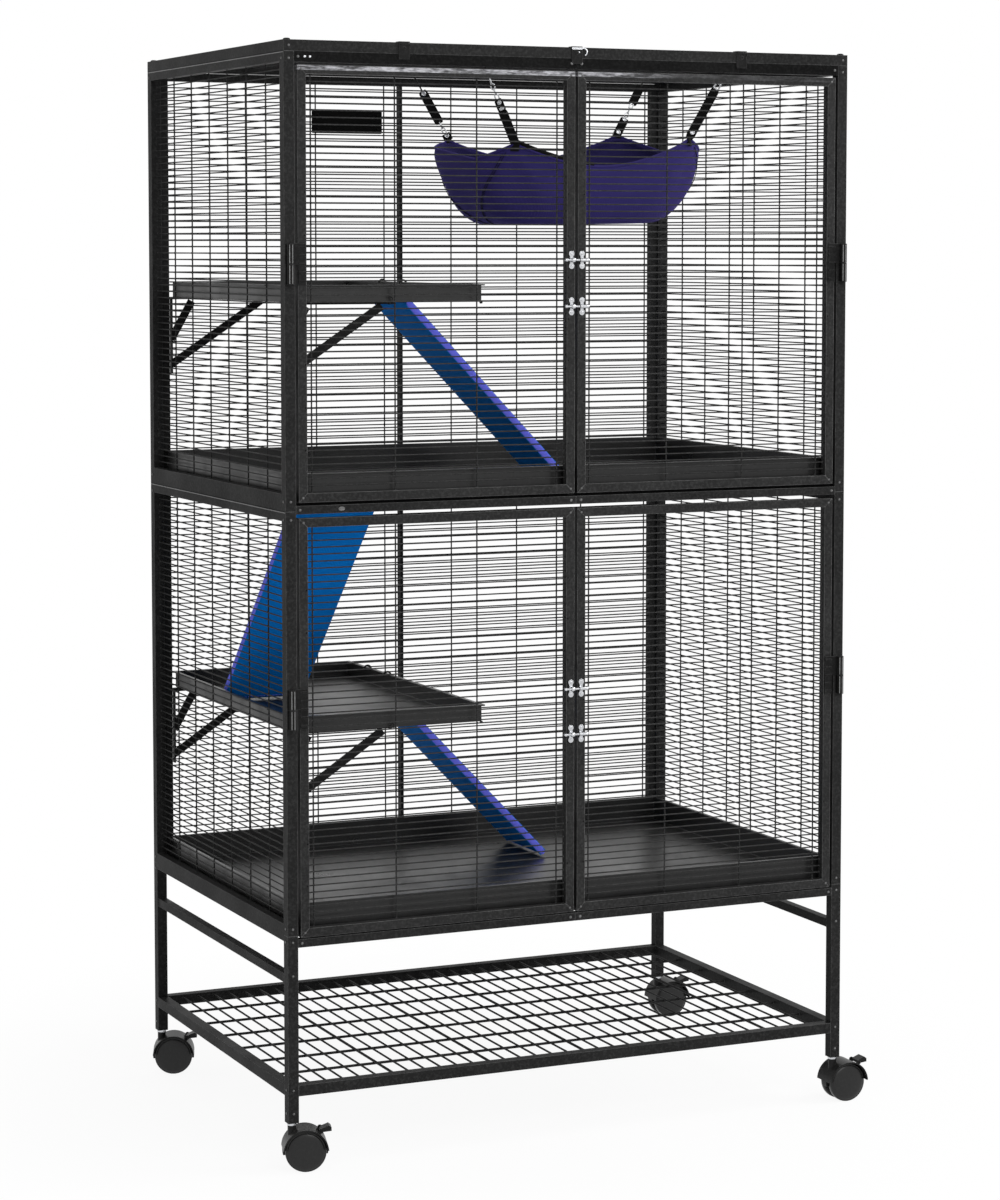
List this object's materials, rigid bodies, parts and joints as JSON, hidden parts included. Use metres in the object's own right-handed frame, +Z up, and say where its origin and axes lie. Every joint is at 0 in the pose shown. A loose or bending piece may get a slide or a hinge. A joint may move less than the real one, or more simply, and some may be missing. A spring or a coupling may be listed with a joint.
{
  "type": "ferret cage",
  "caption": "Tall two-storey wire pet cage on a wheeled stand, with pairs of latched doors, shelves, ramps, pull-out pans and a hanging hammock.",
  "frame": {"origin": "middle of the cage's footprint on the floor", "axes": "+Z up, +X to the right of someone facing the doors, +Y to the back; the doors face -Y"},
  "size_m": [0.9763, 0.6549, 1.6225],
  "materials": {
    "powder_black": "satin black powder coat",
    "tray_black": "satin black",
    "zinc": "bright zinc plate",
    "ramp_blue": "blue woven cover",
    "hammock_cloth": "soft purple cloth",
    "webbing": "black webbing",
    "caster_black": "matte black",
    "wheel_black": "black"
  },
  "bodies": {
    "cage": {"left_legs": "powder_black", "right_legs": "powder_black", "storage_shelf": "powder_black", "lower_left_panel": "powder_black", "lower_right_panel": "powder_black", "lower_back_panel": "powder_black", "lower_floor_grid": "powder_black", "lower_pan": "tray_black", "upper_left_panel": "powder_black", "upper_right_panel": "powder_black", "upper_back_panel": "powder_black", "upper_floor_grid": "powder_black", "upper_pan": "tray_black", "lid": "powder_black", "front_top_rail": "powder_black", "front_mid_rail": "powder_black", "front_bottom_rail": "powder_black", "lid_clips": "powder_black", "post_caps": "tray_black", "post_hinge_leaves": "tray_black", "caster_stems": "zinc", "upper_shelf": "tray_black", "lower_shelf": "tray_black", "shelf_braces": "tray_black", "hammock": "hammock_cloth", "hammock_straps": "webbing", "hammock_hooks": "zinc"},
    "upper_left_door_body": {"upper_left_door": "powder_black", "upper_left_hinge_leaf": "tray_black", "upper_latch_guides": "zinc"},
    "upper_right_door_body": {"upper_right_door": "powder_black", "upper_right_hinge_leaf": "tray_black", "upper_latch_keepers": "zinc"},
    "upper_top_bolt_body": {"upper_top_bolt": "zinc"},
    "upper_bottom_bolt_body": {"upper_bottom_bolt": "zinc"},
    "lower_left_door_body": {"lower_left_door": "powder_black", "lower_left_hinge_leaf": "tray_black", "lower_latch_guides": "zinc"},
    "lower_right_door_body": {"lower_right_door": "powder_black", "lower_right_hinge_leaf": "tray_black", "lower_latch_keepers": "zinc"},
    "lower_top_bolt_body": {"lower_top_bolt": "zinc"},
    "lower_bottom_bolt_body": {"lower_bottom_bolt": "zinc"},
    "upper_ramp_body": {"upper_ramp": "ramp_blue"},
    "middle_ramp_body": {"middle_ramp": "ramp_blue"},
    "lower_ramp_body": {"lower_ramp": "ramp_blue"},
    "front_left_caster_body": {"front_left_hood": "caster_black"},
    "front_left_wheels_body": {"front_left_wheels": "wheel_black"},
    "front_left_brake_body": {"front_left_brake": "caster_black"},
    "front_right_caster_body": {"front_right_hood": "caster_black"},
    "front_right_wheels_body": {"front_right_wheels": "wheel_black"},
    "front_right_brake_body": {"front_right_brake": "caster_black"},
    "back_left_caster_body": {"back_left_hood": "caster_black"},
    "back_left_wheels_body": {"back_left_wheels": "wheel_black"},
    "back_left_brake_body": {"back_left_brake": "caster_black"},
    "back_right_caster_body": {"back_right_hood": "caster_black"},
    "back_right_wheels_body": {"back_right_wheels": "wheel_black"},
    "back_right_brake_body": {"back_right_brake": "caster_black"}
  },
  "joints": [
    {"name": "door_upper_left", "type": "hinge", "parent": "cage", "child": "upper_left_door_body", "pos_m": [-0.45, -0.311, 0], "axis": [0, 0, -1], "range_deg": [0, 120]},
    {"name": "door_upper_right", "type": "hinge", "parent": "cage", "child": "upper_right_door_body", "pos_m": [0.45, -0.311, 0], "axis": [0, 0, 1], "range_deg": [0, 120]},
    {"name": "door_lower_left", "type": "hinge", "parent": "cage", "child": "lower_left_door_body", "pos_m": [-0.45, -0.311, 0], "axis": [0, 0, -1], "range_deg": [0, 120]},
    {"name": "door_lower_right", "type": "hinge", "parent": "cage", "child": "lower_right_door_body", "pos_m": [0.45, -0.311, 0], "axis": [0, 0, 1], "range_deg": [0, 120]},
    {"name": "latch_upper_top", "type": "slide", "parent": "upper_left_door_body", "child": "upper_top_bolt_body", "axis": [1, 0, 0], "range_m": [-0.008, 0.005]},
    {"name": "latch_upper_bottom", "type": "slide", "parent": "upper_left_door_body", "child": "upper_bottom_bolt_body", "axis": [1, 0, 0], "range_m": [-0.008, 0.005]},
    {"name": "latch_lower_top", "type": "slide", "parent": "lower_left_door_body", "child": "lower_top_bolt_body", "axis": [1, 0, 0], "range_m": [-0.008, 0.005]},
    {"name": "latch_lower_bottom", "type": "slide", "parent": "lower_left_door_body", "child": "lower_bottom_bolt_body", "axis": [1, 0, 0], "range_m": [-0.008, 0.005]},
    {"name": "ramp_upper", "type": "hinge", "parent": "cage", "child": "upper_ramp_body", "pos_m": [-0.1415, 0, 1.27192], "axis": [0, -1, 0], "range_deg": [0, 35]},
    {"name": "ramp_middle", "type": "hinge", "parent": "cage", "child": "middle_ramp_body", "pos_m": [0, -0.25, 0.98202], "axis": [1, 0, 0], "range_deg": [0, 35]},
    {"name": "ramp_lower", "type": "hinge", "parent": "cage", "child": "lower_ramp_body", "pos_m": [-0.1415, 0, 0.65392], "axis": [0, -1, 0], "range_deg": [0, 35]},
    {"name": "swivel_front_left", "type": "hinge", "parent": "cage", "child": "front_left_caster_body", "pos_m": [-0.4495, -0.297, 0.06], "axis": [0, 0, 1], "continuous": true},
    {"name": "swivel_front_right", "type": "hinge", "parent": "cage", "child": "front_right_caster_body", "pos_m": [0.4495, -0.297, 0.06], "axis": [0, 0, 1], "continuous": true},
    {"name": "swivel_back_left", "type": "hinge", "parent": "cage", "child": "back_left_caster_body", "pos_m": [-0.4495, 0.297, 0.06], "axis": [0, 0, 1], "continuous": true},
    {"name": "swivel_back_right", "type": "hinge", "parent": "cage", "child": "back_right_caster_body", "pos_m": [0.4495, 0.297, 0.06], "axis": [0, 0, 1], "continuous": true},
    {"name": "wheel_front_left", "type": "hinge", "parent": "front_left_caster_body", "child": "front_left_wheels_body", "pos_m": [-0.43124, -0.30224, 0.03], "axis": [0.2756, 0.9613, 0], "continuous": true},
    {"name": "wheel_front_right", "type": "hinge", "parent": "front_right_caster_body", "child": "front_right_wheels_body", "pos_m": [0.4685, -0.297, 0.03], "axis": [0, 1, 0], "continuous": true},
    {"name": "wheel_back_left", "type": "hinge", "parent": "back_left_caster_body", "child": "back_left_wheels_body", "pos_m": [-0.43165, 0.2905, 0.03], "axis": [0.342, 0.9397, 0], "continuous": true},
    {"name": "wheel_back_right", "type": "hinge", "parent": "back_right_caster_body", "child": "back_right_wheels_body", "pos_m": [0.4685, 0.297, 0.03], "axis": [0, 1, 0], "continuous": true},
    {"name": "brake_front_left", "type": "hinge", "parent": "front_left_caster_body", "child": "front_left_brake_body", "pos_m": [-0.40993, -0.30835, 0.05837], "axis": [0.2756, 0.9613, 0], "range_deg": [0, 14]},
    {"name": "brake_front_right", "type": "hinge", "parent": "front_right_caster_body", "child": "front_right_brake_body", "pos_m": [0.49066, -0.297, 0.05837], "axis": [0, 1, 0], "range_deg": [0, 14]},
    {"name": "brake_back_left", "type": "hinge", "parent": "back_left_caster_body", "child": "back_left_brake_body", "pos_m": [-0.41082, 0.28292, 0.05837], "axis": [0.342, 0.9397, 0], "range_deg": [0, 14]},
    {"name": "brake_back_right", "type": "hinge", "parent": "back_right_caster_body", "child": "back_right_brake_body", "pos_m": [0.49066, 0.297, 0.05837], "axis": [0, 1, 0], "range_deg": [0, 14]}
  ]
}
